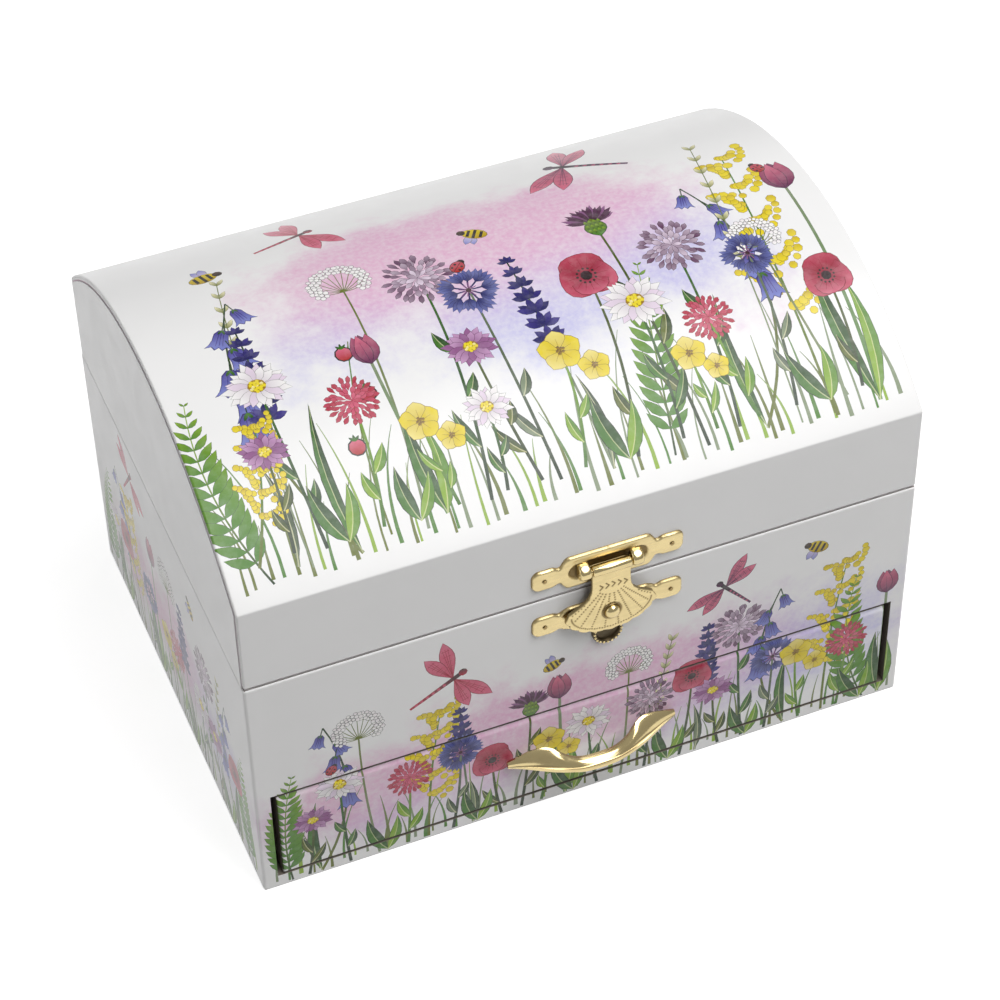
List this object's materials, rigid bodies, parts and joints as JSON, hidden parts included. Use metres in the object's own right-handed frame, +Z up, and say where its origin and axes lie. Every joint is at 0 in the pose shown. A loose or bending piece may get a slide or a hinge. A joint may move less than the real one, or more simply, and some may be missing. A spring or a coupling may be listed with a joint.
{
  "type": "musical jewellery box",
  "caption": "Dome-lidded paper-covered jewellery box with brass shell hasp, drawer, mirror lid, lined wells and a turning dancer driven by a wind-up music movement.",
  "frame": {"origin": "middle of the underside of the case", "axes": "+X to the right seen from the front, +Y from the front to the back, +Z up"},
  "size_m": [0.16, 0.1446, 0.113],
  "materials": {
    "board": "raw fibreboard",
    "printed_paper": "printed and varnished",
    "velvet": "flocked",
    "satin_pad": "satin",
    "brass": "bright stamped",
    "steel": "bright",
    "rubber": "matt",
    "mirror": "silvered glass",
    "white_plastic": "gloss",
    "doll_plastic": "painted",
    "net": "stiff net"
  },
  "bodies": {
    "case": {"base_board": "board", "left_wall": "board", "right_wall": "board", "back_wall": "board", "front_rail": "board", "shelf": "board", "case_wrap": "printed_paper", "stage_partitions": "board", "stage_front_wall": "board", "dance_deck": "board", "linings": "velvet", "ring_rolls": "velvet", "movement_frame": "steel", "tone_comb": "steel", "movement_screws": "steel", "key_bush": "brass", "spindle_bearings": "brass", "hinge_case_leaves": "brass", "hasp_lower_plate": "brass", "hasp_socket": "brass", "case_nails": "brass"},
    "lid": {"lid_left_end": "board", "lid_right_end": "board", "lid_front_wall": "board", "lid_back_wall": "board", "lid_roof": "board", "lid_lining": "satin_pad", "lid_wrap": "printed_paper", "mirror_frame": "white_plastic", "mirror_glass": "mirror", "hinge_lid_leaves": "brass", "hasp_upper_plate": "brass", "lid_nails": "brass"},
    "hasp": {"hasp_flap": "brass", "hasp_knob": "brass"},
    "drawer": {"drawer_front": "board", "drawer_wrap": "printed_paper", "drawer_sides": "board", "drawer_back": "board", "drawer_floor": "board", "drawer_lining": "velvet", "drawer_pull": "brass", "pull_rivets": "brass"},
    "barrel": {"spring_barrel": "steel", "great_wheel": "brass", "mainspring": "steel"},
    "cylinder": {"tune_cylinder": "brass", "cylinder_arbor": "steel", "governor_wheel": "brass", "friction_roller": "rubber"},
    "fly": {"fly_governor": "white_plastic"},
    "key": {"winding_arbor": "steel", "winding_key": "steel"},
    "stop": {"stop_wire": "steel"},
    "turntable": {"friction_disc": "brass", "dancer_spindle": "steel", "turntable": "white_plastic", "dancer_spring": "steel"},
    "dancer": {"dancer_figure": "doll_plastic", "tutu": "net"}
  },
  "joints": [
    {"name": "lid_hinge", "type": "hinge", "parent": "case", "child": "lid", "pos_m": [0, 0.06125, 0.0668], "axis": [-1, 0, 0], "range_deg": [0, 100]},
    {"name": "hasp_swing", "type": "hinge", "parent": "lid", "child": "hasp", "pos_m": [0.004, -0.0617, 0.0734], "axis": [-1, 0, 0], "range_deg": [0, 150]},
    {"name": "drawer_slide", "type": "slide", "parent": "case", "child": "drawer", "axis": [0, -1, 0], "range_m": [0, 0.085]},
    {"name": "barrel_turn", "type": "hinge", "parent": "case", "child": "barrel", "pos_m": [-0.01338, 0.04, 0.0444], "axis": [0, 1, 0], "continuous": true},
    {"name": "cylinder_turn", "type": "hinge", "parent": "case", "child": "cylinder", "pos_m": [0, 0.04, 0.0462], "axis": [0, 1, 0], "continuous": true},
    {"name": "fly_turn", "type": "hinge", "parent": "case", "child": "fly", "pos_m": [0.01039, 0.04, 0.0426], "axis": [0, 1, 0], "continuous": true},
    {"name": "key_wind", "type": "hinge", "parent": "case", "child": "key", "pos_m": [-0.01338, 0.06, 0.0444], "axis": [0, 1, 0], "continuous": true},
    {"name": "dancer_turn", "type": "hinge", "parent": "case", "child": "turntable", "pos_m": [0, 0.01195, 0.0603], "axis": [0, 0, 1], "continuous": true},
    {"name": "dancer_sway", "type": "hinge", "parent": "turntable", "child": "dancer", "pos_m": [0, 0.01195, 0.06377], "axis": [1, 0, 0], "range_deg": [-12, 12], "stiffness_Nm_per_rad": 0.012, "deforming": ["dancer_spring"]},
    {"name": "stop_rise", "type": "slide", "parent": "case", "child": "stop", "axis": [0, 0, 1], "range_m": [0, 0.0015]}
  ],
  "couplings": [
    {"joint": "cylinder_turn", "follows": "barrel_turn", "ratio": -2},
    {"joint": "fly_turn", "follows": "barrel_turn", "ratio": 5.3333},
    {"joint": "dancer_turn", "follows": "barrel_turn", "ratio": 1.53},
    {"joint": "stop_rise", "follows": "lid_hinge", "m_per_rad": 0.00085}
  ]
}
